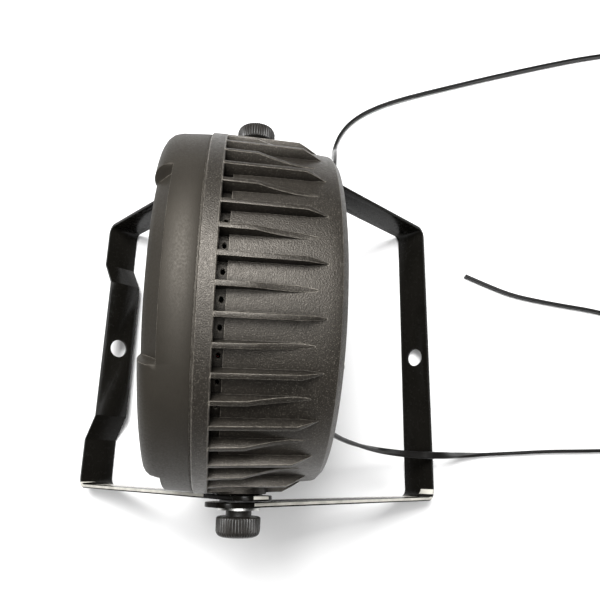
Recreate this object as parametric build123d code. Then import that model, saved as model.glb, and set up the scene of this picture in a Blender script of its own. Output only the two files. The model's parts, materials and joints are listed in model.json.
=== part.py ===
from build123d import *
import os
from math import asin, atan, cos, degrees, hypot, pi, radians, sin, sqrt, tan

# Slim LED par can light on two clamped U brackets, in millimetres.
#
# Row frame: +X along the pivot axis, -Y the side the light shines to, +Z up, z = 0 the floor.
# Every lamp piece is drawn in the lamp's own frame, where the pivot axis is X, the optical
# axis is Y (the light face is at -Y) and the origin is the middle of the pivot axis.
# set_lamp() then leans the lamp back and lifts it to its pivot height.

# ---- driving dimensions -------------------------------------------------------------------
tip_r = 105.0            # radius over the fin tips and the collar
screw_ring = 92.6        # circle of the bezel's screws
cover_ring = 83.0        # circle of the back cover's screws
floor_r = 98.6           # outer radius of the drum between the fins
wall = 3.2               # wall of the drum
strip_width = 25.0       # steel strip of both brackets
strip = 2.5              # its thickness
stud_r = 4.0             # M8 pivot stud
bore_r = 4.06            # every running hole on it
gap = 0.3                # air between two bodies
pivot_height = 140.5     # pivot axis above the floor
lean = 6.3               # degrees that the light face looks up
thread_pitch = 1.25      # M8

# stations along the optical axis
front = -50.6            # raised front edge of the bezel
ledge = -44.0            # ledge that the lens plate rests on
seam = -25.3             # bezel meets drum
fins_start = -17.0       # end of the plain collar
flange_inner = 39.4      # ring that the back cover is screwed to
cover_seat = 42.0
back = 44.0              # rear face of drum and back cover
box_back = 54.0          # rear rim of the control box
panel_back = 56.0        # outer face of the control panel

# stack along the pivot axis
boss_face = tip_r
inner_arm = boss_face + gap                    # inner face of the front bracket's arm
washer_thin = 0.8
outer_arm = inner_arm + strip + 2 * gap + washer_thin
clamp_washer = outer_arm + strip + gap
clamp_washer_t = 1.2
knob_start = clamp_washer + clamp_washer_t + gap
knob_neck = 3.2
knob_length = 10.8
knob_r = 12.4

# brackets: distance from the pivot axis to the crossbar's inner face
back_reach = 182.0
front_reach = back_reach - strip - 0.6
arm_tail = 19.0          # strip left beyond the pivot
bend_r = 8.0             # outer radius of the bends
hang_hole_r = 7.0
joggle = 13.5            # front crossbar's middle is set in towards the lamp
joggle_near = 54.0       # half length of the set-in middle
joggle_far = 72.0        # where the crossbar is back on its line

parts = {}


# ---- small helpers ------------------------------------------------------------------------
def rod(r, y0, y1, x=0.0, z=0.0):
    """Cylinder along Y."""
    return Pos(x, (y0 + y1) / 2, z) * Rot(90, 0, 0) * Cylinder(r, abs(y1 - y0))


def pin(r, x0, x1, y=0.0, z=0.0):
    """Cylinder along X."""
    return Pos((x0 + x1) / 2, y, z) * Rot(0, 90, 0) * Cylinder(r, abs(x1 - x0))


def block(x0, x1, y0, y1, z0, z1):
    return Pos((x0 + x1) / 2, (y0 + y1) / 2, (z0 + z1) / 2) * Box(x1 - x0, y1 - y0, z1 - z0)


def lathe(outline):
    """Turn a (station, radius) outline about the optical axis."""
    return revolve(make_face(Polyline(*[(r, y) for y, r in outline], close=True)), Axis.Y, 360)


def lathe_x(outline):
    """Turn an (x, radius) outline about the pivot axis."""
    return revolve(make_face(Polyline(*outline, close=True)), Axis.X, 360)


def around(shape, angle):
    """Turn a shape about the optical axis; 0 is the top, positive goes towards +X."""
    return Rot(0, angle, 0) * shape


def hex_rod(across, y0, y1, x=0.0, z=0.0):
    face = RegularPolygon(across / sqrt(3), 6)
    return Pos(x, y1, z) * Rot(90, 0, 0) * extrude(face, y1 - y0)


def polar(radius, count, start=0.0):
    """(x, z) of count places on a circle about the optical axis."""
    return [(radius * sin(radians(start + i * 360 / count)),
             radius * cos(radians(start + i * 360 / count))) for i in range(count)]


def screw(r, head_r, head_y, tip_y, x, z):
    """Pan head screw along Y, its head outside head_y, with a cross recess."""
    way = 1 if head_y > tip_y else -1
    body = rod(r, tip_y, head_y, x, z)
    head = rod(head_r, head_y, head_y + way * head_r * 0.62, x, z)
    top = head_y + way * head_r * 0.62
    slot = block(-head_r * 0.6, head_r * 0.6, -0.6, 0.6, -0.3, 0.3)
    slot += block(-0.3, 0.3, -0.6, 0.6, -head_r * 0.6, head_r * 0.6)
    return body + head - Pos(x, top, z) * slot


def group(shapes):
    return Compound(list(shapes))


def lamp_to_row(point):
    """Row-frame place of a point of the lamp's own frame."""
    x, y, z = point
    c, s = cos(radians(lean)), sin(radians(lean))
    return (x, y * c + z * s + shift_y, z * c - y * s + pivot_height)


def set_lamp(shape):
    return Pos(0, shift_y, pivot_height) * Rot(-lean, 0, 0) * shape


# ---- where the brackets put the lamp ---------------------------------------------------------
def splay(reach):
    """Degrees below level at which the crossbar's lower outer edge meets the floor."""
    far = reach + strip
    half = strip_width / 2
    return degrees(asin(pivot_height / hypot(far, half)) - atan(half / far))


def outermost(reach):
    a = radians(splay(reach))
    return (reach + strip) * cos(a) + strip_width / 2 * sin(a)


shift_y = (outermost(front_reach) - outermost(back_reach)) / 2


# ---- rear housing ---------------------------------------------------------------------------
fin_pairs = 24
fin_t = 2.5
knee_long = 23.5
knee_short = -0.4
fin_root = floor_r - 2.5


def fin(outline):
    """Flat fin in the plane of the optical axis, standing up at the top of the drum."""
    face = make_face(Polyline(*[(0, y, r) for y, r in outline], close=True))
    return extrude(face, fin_t / 2, dir=(1, 0, 0), both=True)


def long_fin():
    return fin([(fins_start - 2, tip_r - 0.2), (knee_long, tip_r - 1.6), (34.0, floor_r - 1.2),
                (34.0, fin_root), (fins_start - 2, fin_root)])


def short_fin():
    return fin([(fins_start - 2, tip_r - 0.2), (knee_short, tip_r - 0.9), (12.0, tip_r - 4.0),
                (29.0, floor_r - 0.8), (29.0, fin_root), (fins_start - 2, fin_root)])


pocket_long = 4.7          # recess between two fins, behind the collar
pocket_deep = 1.9
weep_r = 1.1


def rear_housing():
    shell = lathe([(seam, tip_r), (fins_start, tip_r), (fins_start, floor_r), (22.0, floor_r - 0.4),
                   (39.0, floor_r - 1.4), (42.4, floor_r - 2.9), (back, floor_r - 5.2), (back, 88.0),
                   (cover_seat, 88.0), (cover_seat, 78.0), (flange_inner, 78.0),
                   (flange_inner, floor_r - wall - 2.6), (34.0, floor_r - wall - 0.6),
                   (-21.0, floor_r - wall), (-21.0, 88.0), (seam, 88.0)])
    pitch = 360 / fin_pairs
    for i in range(fin_pairs):
        shell += around(long_fin(), i * pitch)
        shell += around(short_fin(), (i + 0.5) * pitch)
    pocket = block(-5.0, 5.0, fins_start, fins_start + pocket_long, floor_r - pocket_deep, floor_r + 3)
    weep = Pos(0, fins_start + 2.6, floor_r - 2) * Cylinder(weep_r, 8)
    for i in range(2 * fin_pairs):
        shell -= around(pocket, (i + 0.5) * pitch / 2)
        shell -= around(weep, (i + 0.5) * pitch / 2)
    for side in (-1, 1):
        shell += pin(15.0, side * 90, side * (boss_face - 0.4))
        shell += pin(13.0, side * 90, side * boss_face)
        shell -= pin(bore_r, side * 85, side * (boss_face + 5))
    for x, z in polar(cover_ring, 6, 30):
        shell -= rod(1.5, flange_inner - 1, cover_seat + 1, x, z)
    for x, z in polar(screw_ring, 6):
        shell -= rod(1.7, seam - 1, -20.0, x, z)
    return shell


# ---- front bezel ----------------------------------------------------------------------------
# recessed arcs: wide ones above and below the light, narrower ones beside the pivots
wide_half = 27.5           # degrees each side of an arc's middle
narrow_half = 20.0
scallops = [(0, wide_half), (90, narrow_half), (180, wide_half), (270, narrow_half)]
bevel_low = -41.2          # the recessed arcs' bevel, near the drum
bevel_front = -49.4        # and at the front


def front_bezel():
    nose = [(front, 92.0), (front, 94.0), (front + 0.7, 97.4), (front + 2.4, 100.2),
            (front + 4.9, 102.2), (front + 8.2, 103.2)]
    joint = [(seam - 0.7, 104.0), (seam - 0.7, 103.2), (seam, 103.2), (seam, 90.8)]
    inside = [(-31.0, 90.8), (-31.0, 98.0), (-38.0, 98.0), (-38.0, 90.3), (ledge, 90.3), (ledge, 87.4)]
    ring = lathe(nose + joint + inside + [(front + 1.5, 87.4)])
    bevel = lathe([(bevel_low, 110.0), (bevel_low, 99.0), (bevel_front, 91.4), (bevel_front, 80.0),
                   (front - 5, 80.0), (front - 5, 110.0)])
    reach = 160
    for middle, half in scallops:
        side = reach * tan(radians(half))
        wedge = make_face(Polyline((0, 0), (-side, reach), (side, reach), close=True))
        wedge = Rot(90, 0, 0) * extrude(wedge, 200, both=True)
        ring -= around(bevel & wedge, middle)
    for x, z in polar(screw_ring, 6):
        ring -= rod(1.5, -31.5, seam + 1, x, z)
    return ring


def bezel_screws():
    return group(screw(1.5, 2.6, -21.0, -30.5, x, z) for x, z in polar(screw_ring, 6))


# ---- optics and light engine -------------------------------------------------------------------
lens_pitch = 25.0
lens_r = 10.6
plate_t = 2.4
board_front = -36.0
board_t = 1.6
sink_t = 3.0
sink_back = board_front + board_t + sink_t


def lens_places():
    """Three hexagonal rings round an empty middle."""
    places = []
    for ring in (1, 2, 3):
        corners = polar(lens_pitch * ring, 6)
        for i in range(6):
            (xa, za), (xb, zb) = corners[i], corners[(i + 1) % 6]
            for k in range(ring):
                t = k / ring
                places.append((xa + (xb - xa) * t, za + (zb - za) * t))
    return places


def lens_plate():
    plate = rod(90.0, ledge, ledge + plate_t)
    for x, z in lens_places():
        plate -= rod(lens_r + 0.15, ledge - 1, ledge + plate_t + 1, x, z)
    return plate


def led_lenses():
    seat = ledge + plate_t
    outline = [(seat + 3.6, 0), (seat + 3.6, 6.0), (seat + 1.0, 9.4), (seat + 1.0, 11.6), (seat, 11.6),
               (seat, lens_r), (ledge - 0.4, lens_r), (ledge - 1.3, 8.2), (ledge - 1.8, 4.6),
               (ledge - 1.9, 0)]
    lens = lathe(outline)
    return group(Pos(x, 0, z) * lens for x, z in lens_places())


def led_board():
    board = rod(87.4, board_front, board_front + board_t)
    for x, z in polar(81.0, 4, 15):
        board -= rod(1.6, board_front - 1, board_front + board_t + 1, x, z)
    return board


def led_emitters():
    return group(block(x - 1.9, x + 1.9, board_front - 1.0, board_front, z - 1.9, z + 1.9)
                 + rod(1.4, board_front - 1.5, board_front - 1.0, x, z) for x, z in lens_places())


def heat_sink():
    plate = rod(87.4, board_front + board_t, sink_back)
    for i in range(-5, 6):
        plate += block(-46, 46, sink_back, sink_back + 9, i * 8 - 0.8, i * 8 + 0.8)
    return plate


def lens_plate_spacers():
    return group(rod(2.4, ledge + plate_t, board_front, x, z) for x, z in polar(84.6, 6, 30))


def chassis_standoffs():
    return group(hex_rod(7.0, sink_back, flange_inner, x, z) for x, z in polar(81.0, 4, 15))


# ---- back cover and its control box ------------------------------------------------------------
box_x = 28.0
box_low = -40.0
box_high = 14.0
box_wall = 2.2
relief_z = -12.0
relief_y = (back + box_back) / 2
eye_x = 9.0             # half spacing of the safety loop's legs
eye_z = -72.0
eye_wire = 1.8
socket_z = 49.0
socket_x = 32.0
socket_r = 11.6


def back_cover():
    cover = rod(87.6, cover_seat, back)
    cover += block(-box_x, box_x, cover_seat, box_back, box_low, box_high)
    inner = block(-box_x + box_wall, box_x - box_wall, cover_seat - 1, box_back + 1,
                  box_low + box_wall, box_high - box_wall)
    cover -= inner
    for x in (-1, 1):
        for z in (box_low + 5, box_high - 5):
            cover += rod(3.2, cover_seat, box_back, x * (box_x - 4.5), z)
            cover -= rod(1.2, box_back - 7, box_back + 1, x * (box_x - 4.5), z)
        cover -= pin(3.3, x * (box_x - 4), x * (box_x + 1), relief_y, relief_z)
        cover -= rod(socket_r + 0.1, cover_seat - 1, back + 1, x * socket_x, socket_z)
        for dx, dz in ((-9.5, 12.0), (9.5, -12.0)):
            cover -= rod(1.2, cover_seat - 1, back + 1, x * socket_x + dx, socket_z + dz)
    for x, z in polar(cover_ring, 6, 30):
        cover -= rod(1.7, cover_seat - 1, back + 1, x, z)
    for i in range(-6, 7):
        cover -= block(i * 4.6 - 1.1, i * 4.6 + 1.1, cover_seat - 1, back + 1, -62.0, -46.0)
    for x in (-eye_x, eye_x):
        cover -= rod(eye_wire + 0.1, cover_seat - 1, back + 1, x, eye_z)
    return cover


def back_cover_screws():
    return group(screw(1.5, 2.8, back, flange_inner, x, z) for x, z in polar(cover_ring, 6, 30))


window = (-21.0, 7.0, -8.0, 4.0)          # low x, high x, low z, high z of the display window
button_r = 3.0
button_z = -27.0
button_names = ["menu_button", "down_button", "up_button", "enter_button"]
button_places = [-18.0, -6.0, 6.0, 18.0]
button_travel = 0.8
board_back = box_back - 4.4
control_board_t = 1.6


def control_panel():
    panel = block(-box_x, box_x, box_back, panel_back, box_low, box_high)
    x0, x1, z0, z1 = window
    panel -= block(x0, x1, box_back - 1, panel_back + 1, z0, z1)
    for x in button_places:
        panel -= rod(button_r + gap, box_back - 1, panel_back + 1, x, button_z)
    for x in (-1, 1):
        for z in (box_low + 5, box_high - 5):
            panel -= rod(1.4, box_back - 1, panel_back + 1, x * (box_x - 4.5), z)
    return panel


def control_panel_screws():
    return group(screw(1.2, 2.3, panel_back, box_back - 6.5, x * (box_x - 4.5), z)
                 for x in (-1, 1) for z in (box_low + 5, box_high - 5))


def display_window():
    x0, x1, z0, z1 = window
    rim = 1.5
    pane = block(x0, x1, box_back - 1.0, panel_back - 0.3, z0, z1)
    return pane + block(x0 - rim, x1 + rim, box_back - 1.0, box_back, z0 - rim, z1 + rim)


def display_module():
    x0, x1, z0, z1 = window
    return block(x0 + 1, x1 - 1, board_back, box_back - 1.0 - gap, z0 + 0.5, z1 - 0.5)


def control_board():
    return block(-22.0, 22.0, board_back - control_board_t, board_back, box_low + 9, box_high - 9)


def button_switches():
    """Tact switches under the buttons, each with its short plunger."""
    return group(block(x - 3, x + 3, board_back, board_back + 1.6, button_z - 3, button_z + 3)
                 for x in button_places)


def button(x):
    cap = rod(button_r, box_back - 0.4, panel_back + 1.6, x, button_z)
    flange = rod(button_r + 0.9, box_back - 1.3, box_back - gap, x, button_z)
    return cap + flange


# ---- data sockets, power board, wires ------------------------------------------------------------
def socket_body(x):
    body = rod(socket_r, back - 20, back, x, socket_z)
    flange = block(x - 13, x + 13, back, back + 1.8, socket_z - 15.5, socket_z + 15.5)
    body += flange
    for dx, dz in ((-9.5, 12.0), (9.5, -12.0)):
        body -= rod(1.2, back - 1, back + 3, x + dx, socket_z + dz)
    return body


def contact_places(x):
    return [(x + 4.6 * sin(radians(a)), socket_z + 4.6 * cos(radians(a))) for a in (60, 180, 300)]


def data_in_socket():
    x = -socket_x
    body = socket_body(x) - rod(9.4, back - 13, back + 3, x, socket_z)
    for px, pz in contact_places(x):
        body += rod(1.2, back - 14, back - 1, px, pz)
    return body


def data_out_socket():
    x = socket_x
    groove = rod(9.4, back - 13, back + 3, x, socket_z) - rod(8.2, back - 14, back + 4, x, socket_z)
    body = socket_body(x) - groove
    for px, pz in contact_places(x):
        body -= rod(1.35, back - 12, back + 3, px, pz)
    return body


def socket_screws():
    return group(screw(1.2, 2.2, back + 1.8, back - 6, x * socket_x + dx, socket_z + dz)
                 for x in (-1, 1) for dx, dz in ((-9.5, 12.0), (9.5, -12.0)))


power_board_y = 24.0
power_board = (-44.0, 44.0, -60.0, 20.0)


def driver_board():
    x0, x1, z0, z1 = power_board
    return block(x0, x1, power_board_y, power_board_y + 1.6, z0, z1)


def driver_standoffs():
    x0, x1, z0, z1 = power_board
    return group(rod(3.0, power_board_y + 1.6, cover_seat, x, z) for x in (x0 + 5, x1 - 5)
                 for z in (z0 + 5, z1 - 4))


def driver_transformer():
    core = block(-34, -12, power_board_y - 20, power_board_y, -34, -8)
    return core - block(-35, -11, power_board_y - 20.5, power_board_y - 14, -27, -15)


def driver_capacitors():
    return group([rod(8.0, power_board_y - 22, power_board_y, 14.0, -44.0),
                  rod(5.0, power_board_y - 16, power_board_y, 32.0, -46.0),
                  rod(5.0, power_board_y - 16, power_board_y, 32.0, -32.0)])


def driver_fuse():
    return block(-4, 16, power_board_y - 6, power_board_y, 4, 10)


def led_wires():
    return group(rod(1.3, sink_back, power_board_y, 22.0 + 4 * i, 12.0) for i in range(4))


def safety_loop():
    """Steel eye for a safety bond, near the edge that is up when the lamp hangs."""
    low, high = back - 4, back + 11
    path = FilletPolyline((-eye_x, low, eye_z), (-eye_x, high, eye_z), (eye_x, high, eye_z),
                          (eye_x, low, eye_z), radius=6.5)
    eye = sweep(Plane(path @ 0, z_dir=path % 0) * Circle(eye_wire), path=path)
    for x in (-eye_x, eye_x):
        eye += rod(4.0, back, back + 1.0, x, eye_z)
    return eye


# ---- pivot hardware ------------------------------------------------------------------------------
def pivot_stud(side):
    head = lathe_x([(84.0, 0), (84.0, 7.0), (84.6, 7.5), (90.0, 7.5), (90.0, 0)])
    stud = head + pin(stud_r, 89.0, knob_start + knob_neck + 7.0)
    return stud if side > 0 else mirror(stud, Plane.YZ)


def washer(r_out, x0, x1, side):
    ring = pin(r_out, x0, x1) - pin(bore_r, x0 - 1, x1 + 1)
    return ring if side > 0 else mirror(ring, Plane.YZ)


def friction_washers():
    x0 = inner_arm + strip + gap
    return group(washer(11.0, x0, x0 + washer_thin, side) for side in (-1, 1))


insert_r = 5.6


def knob(side):
    body_start = knob_start + knob_neck
    end = body_start + knob_length
    shape = lathe_x([(knob_start, 0), (knob_start, 7.2), (body_start, 7.2), (body_start, knob_r - 0.5),
                     (body_start + 0.5, knob_r), (end - 3.2, knob_r - 0.1), (end - 1.2, knob_r - 1.0),
                     (end - 0.3, knob_r - 2.4), (end, knob_r - 4.4), (end, 0)])
    groove = Pos(0, 0, knob_r) * Rot(0, 90, 0) * Cylinder(0.55, 60)
    groove = Pos(body_start, 0, 0) * groove
    knurls = 45
    for i in range(knurls):
        shape -= Rot(i * 360 / knurls, 0, 0) * groove
    shape -= pin(insert_r, knob_start - 1, body_start + 8.0)
    return shape if side > 0 else mirror(shape, Plane.YZ)


def knob_insert(side):
    body_start = knob_start + knob_neck
    shape = pin(insert_r, knob_start, body_start + 8.0) - pin(bore_r, knob_start - 1, body_start + 7.4)
    return shape if side > 0 else mirror(shape, Plane.YZ)


# ---- brackets --------------------------------------------------------------------------------------
def bracket(arm_x, reach, set_in):
    """U strip in its own frame: arms along -Z from the pivot, width along Y.

    arm_x is the arms' inner face, reach the depth of the crossbar's inner face, and set_in how
    far the crossbar's middle is joggled towards the lamp.
    """
    outer_x = arm_x + strip
    low = -reach - strip
    if set_in:
        outer = [(-joggle_far, low), (-joggle_near, low + set_in),
                 (joggle_near, low + set_in), (joggle_far, low)]
        inner = [(-joggle_far, low + strip), (-joggle_near, low + strip + set_in),
                 (joggle_near, low + strip + set_in), (joggle_far, low + strip)]
    else:
        outer = []
        inner = []
    outline = [(-outer_x, arm_tail), (-outer_x, low)] + outer + [(outer_x, low), (outer_x, arm_tail),
              (arm_x, arm_tail), (arm_x, -reach)] + inner[::-1] + [(-arm_x, -reach), (-arm_x, arm_tail)]
    face = make_face(Polyline(*outline, close=True))
    solid = Rot(90, 0, 0) * extrude(face, strip_width / 2, both=True)
    bends = solid.edges().filter_by(Axis.Y)
    at_foot = [e for e in bends if abs(e.center().Z - low) < 0.01]
    outside = [e for e in at_foot if abs(abs(e.center().X) - outer_x) < 0.01]
    solid = fillet(outside, bend_r)
    bends = solid.edges().filter_by(Axis.Y)
    inside = [e for e in bends if abs(abs(e.center().X) - arm_x) < 0.01 and abs(e.center().Z + reach) < 0.01]
    solid = fillet(inside, bend_r - strip)
    ends = [e for e in solid.edges().filter_by(Axis.X) if abs(e.center().Z - arm_tail) < 0.01]
    solid = fillet(ends, 9.0)
    solid -= pin(bore_r, -outer_x - 1, outer_x + 1)
    solid -= Pos(0, 0, low) * Cylinder(hang_hole_r, 60)
    return solid


def set_bracket(shape, reach, way):
    """way +1 points the arms back, -1 to the front, both down to the floor."""
    return Pos(0, shift_y, pivot_height) * Rot(way * (90 - splay(reach)), 0, 0) * shape


# ---- leads -----------------------------------------------------------------------------------------
cord_d = 5.4             # width of the flat twin lead
relief_length = 20.0
lie = cord_d / 2         # centre of a lead on the floor


def strain_relief(side):
    """Ribbed cone on the side of the control box, with its collar inside the wall."""
    x0, x1 = box_x, box_x + relief_length
    cone = lathe_x([(x0, 0), (x0, 4.8), (x0 + 3.0, 4.8), (x1, 3.4), (x1, 0)])
    for i in range(4):
        at = x0 + 5.0 + i * 3.6
        cone -= pin(6.0, at, at + 1.2) - pin(3.1 - 0.05 * i, at - 1, at + 2)
    neck = pin(3.3, x0 - box_wall, x0)
    collar = pin(4.6, x0 - box_wall - 2.0, x0 - box_wall)
    shape = Pos(0, relief_y, relief_z) * (cone + neck + collar)
    return shape if side > 0 else mirror(shape, Plane.YZ)


def lead_radii(route):
    """The largest arc that each corner's two runs leave room for."""
    radii = []
    for a, b, c in zip(route, route[1:], route[2:]):
        run_in, run_out = Vector(*b) - Vector(*a), Vector(*c) - Vector(*b)
        turn = run_in.get_angle(run_out)
        radii.append(0.45 * min(run_in.length, run_out.length) / tan(radians(turn / 2)))
    return radii


def lead(name, route):
    radii = lead_radii(route)
    path = FilletPolyline(*route, radius=radii)
    tube = sweep(Plane(path @ 0, z_dir=path % 0) * Circle(cord_d / 2), path=path)
    ideal = pi * (cord_d / 2) ** 2 * path.length
    runs = [round((Vector(*b) - Vector(*a)).length, 1) for a, b in zip(route, route[1:])]
    print(name, "length", round(path.length, 1), "volume / ideal", round(tube.volume / ideal, 4))
    print("  radii", [round(r, 1) for r in radii])
    print("  runs", runs)
    return tube


exit_x, exit_y, exit_z = lamp_to_row((box_x + relief_length, relief_y, relief_z))

# over the back bracket's arm, down beside it, and away over the floor to the coil
power_route = [
    (-exit_x, exit_y, exit_z),
    (-61.0, exit_y, exit_z),
    (-76.5, 47.2, 123.9),
    (-94.0, 49.8, 123.4),
    (-112.0, 51.5, 119.6),
    (-127.0, 52.6, 109.0),
    (-140.0, 53.6, 93.0),
    (-151.0, 54.4, 73.0),
    (-162.0, 55.3, 50.0),
    (-173.0, 56.2, 29.0),
    (-184.0, 57.0, 13.0),
    (-196.0, 58.6, 4.6),
    (-209.0, 62.6, lie),
    (-222.0, 70.6, lie),
    (-234.0, 84.0, lie),
    (-244.5, 103.0, lie),
    (-253.0, 125.0, lie),
    (-260.5, 149.0, lie),
    (-268.5, 176.0, lie),
    (-277.0, 205.0, lie),
    (-286.0, 237.0, lie),
    (-295.0, 270.0, lie),
    (-303.5, 304.0, lie),
    (-309.0, 334.0, lie),
    (-311.0, 357.0, lie),
]

# the put-away rest of the power lead, in one coil with a strap round it
coil_x, coil_y = -278.0, 372.0
coil_mid = 30.0          # radius at the middle of the turns
coil_half = 8.3          # half the width of three turns side by side
coil_high = 9.8          # two layers of turns
strap_wide = 7.0
strap_thick = 0.8

# from the coil to the plug, which lies on its side with its axis at plug_z
plug_z = 6.3
power_tail = [
    (coil_x + 12.0, coil_y + coil_mid + 1.0, lie),
    (coil_x + 29.0, coil_y + coil_mid + 0.4, lie + 0.3),
    (coil_x + 47.0, coil_y + coil_mid - 2.4, lie + 2.0),
    (coil_x + 64.0, coil_y + coil_mid - 6.2, plug_z),
    (coil_x + 80.0, coil_y + coil_mid - 10.6, plug_z),
]

# down beside the lamp, over the back bracket's crossbar, round a wide bend and back
link_route = [
    (exit_x, exit_y, exit_z),
    (53.6, exit_y, exit_z),
    (59.2, 45.5, 121.2),
    (63.8, 46.7, 116.9),
    (67.0, 49.0, 110.4),
    (69.2, 53.4, 100.4),
    (71.6, 60.8, 86.6),
    (74.2, 72.5, 69.5),
    (76.2, 86.6, 51.8),
    (77.2, 98.5, 39.8),
    (78.0, 110.5, 32.2),
    (78.7, 122.5, 28.8),
    (78.5, 134.5, 27.4),
    (78.2, 146.0, 20.6),
    (77.7, 157.5, 10.6),
    (77.0, 170.0, 4.4),
    (76.0, 186.0, lie),
    (74.6, 207.0, lie),
    (72.8, 232.0, lie),
    (72.0, 258.0, lie),
    (71.0, 284.0, lie),
    (67.0, 309.0, lie),
    (55.0, 330.0, lie),
    (36.0, 344.0, lie),
    (12.0, 348.0, lie),
    (-11.0, 341.0, lie),
    (-29.0, 326.0, lie),
    (-40.0, 305.0, lie),
    (-46.0, 281.0, lie),
    (-49.5, 257.0, lie),
    (-53.5, 234.0, lie),
    (-58.0, 213.0, lie),
    (-65.5, 194.0, lie),
    (-74.6, 173.7, lie),
]


def power_lead_coil():
    """Outer shape of five flat turns, laid three beside and two on them."""
    ring = Cylinder(coil_mid + coil_half, coil_high) - Cylinder(coil_mid - coil_half, coil_high + 2)
    return Pos(coil_x, coil_y, coil_high / 2 + strap_thick + 0.1) * ring


def power_lead_tie():
    """Strap round the coil's turns, its underside on the floor."""
    ease = 0.1
    inner_wide = 2 * coil_half + 0.8
    inner_high = coil_high + 2 * ease
    band = Box(inner_wide + 2 * strap_thick, strap_wide, inner_high + 2 * strap_thick)
    band -= Box(inner_wide, strap_wide + 2, inner_high)
    return Pos(coil_x + coil_mid, coil_y, inner_high / 2 + strap_thick) * band


plug_neck = 6.0
plug_long = 19.0
plug_face = 4.0
blade_long = 17.0
blade_space = 12.7


def at_plug(shape):
    """From the plug's frame (the lead enters at the origin, blades point to +X) to the row frame."""
    before, end = power_tail[-2:]
    turn = degrees(atan((end[1] - before[1]) / (end[0] - before[0])))
    return Pos(*end) * Rot(0, 0, turn) * shape


def power_plug():
    """Flat plug body with a wider face and a round neck that grips the lead."""
    body = Pos(plug_neck + plug_long / 2, 0, 0) * Box(plug_long, 22.0, 12.0)
    body = fillet(body.edges().filter_by(Axis.X), 3.5)
    face = Pos(plug_neck + plug_long + plug_face / 2, 0, 0) * Box(plug_face, 25.0, 12.0)
    neck = Pos(plug_neck / 2 + 1, 0, 0) * Rot(0, 90, 0) * Cylinder(3.6, plug_neck + 2)
    return at_plug(body + face + neck)


def plug_blades():
    """Two flat blades with their holes."""
    start = plug_neck + plug_long + plug_face
    blade = Pos(start + blade_long / 2, 0, 0) * Box(blade_long, 1.5, 6.3)
    blade -= Pos(start + blade_long - 3.6, 0, 0) * Rot(90, 0, 0) * Cylinder(1.5, 4)
    return group(at_plug(Pos(0, side * blade_space / 2, 0) * blade) for side in (-1, 1))


def main():
    os.makedirs("parts", exist_ok=True)
    lamp = {
        "rear_housing": rear_housing(),
        "front_bezel": front_bezel(),
        "bezel_screws": bezel_screws(),
        "lens_plate": lens_plate(),
        "led_lenses": led_lenses(),
        "led_board": led_board(),
        "led_emitters": led_emitters(),
        "heat_sink": heat_sink(),
        "lens_plate_spacers": lens_plate_spacers(),
        "chassis_standoffs": chassis_standoffs(),
        "back_cover": back_cover(),
        "back_cover_screws": back_cover_screws(),
        "control_panel": control_panel(),
        "control_panel_screws": control_panel_screws(),
        "display_window": display_window(),
        "display_module": display_module(),
        "control_board": control_board(),
        "button_switches": button_switches(),
        "data_in_socket": data_in_socket(),
        "data_out_socket": data_out_socket(),
        "socket_screws": socket_screws(),
        "driver_board": driver_board(),
        "driver_standoffs": driver_standoffs(),
        "driver_transformer": driver_transformer(),
        "driver_capacitors": driver_capacitors(),
        "driver_fuse": driver_fuse(),
        "led_wires": led_wires(),
        "safety_loop": safety_loop(),
        "friction_washers": friction_washers(),
        "power_lead_relief": strain_relief(-1),
        "link_lead_relief": strain_relief(1),
    }
    for name, x in zip(button_names, button_places):
        lamp[name] = button(x)
    for word, side in (("left", -1), ("right", 1)):
        lamp[word + "_pivot_stud"] = pivot_stud(side)
        lamp[word + "_clamp_washer"] = washer(12.0, clamp_washer, clamp_washer + clamp_washer_t, side)
        lamp[word + "_knob"] = knob(side)
        lamp[word + "_knob_insert"] = knob_insert(side)
    for name, shape in lamp.items():
        parts[name] = set_lamp(shape)
    parts["front_bracket"] = set_bracket(bracket(inner_arm, front_reach, joggle), front_reach, -1)
    parts["back_bracket"] = set_bracket(bracket(outer_arm, back_reach, 0), back_reach, 1)
    parts["power_lead"] = lead("power_lead", power_route)
    parts["power_lead_coil"] = power_lead_coil()
    parts["power_lead_tail"] = lead("power_lead_tail", power_tail)
    parts["power_lead_tie"] = power_lead_tie()
    parts["power_plug"] = power_plug()
    parts["plug_blades"] = plug_blades()
    parts["link_lead"] = lead("link_lead", link_route)
    for name, shape in parts.items():
        export_step(shape, "parts/" + name + ".step")
    print("splay", splay(front_reach), splay(back_reach), "shift", shift_y)
    print("lead exit", exit_x, exit_y, exit_z)


main()
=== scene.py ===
"""Looks of the par can light: camera, leads, moulded and bent pieces, materials, studio."""

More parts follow.
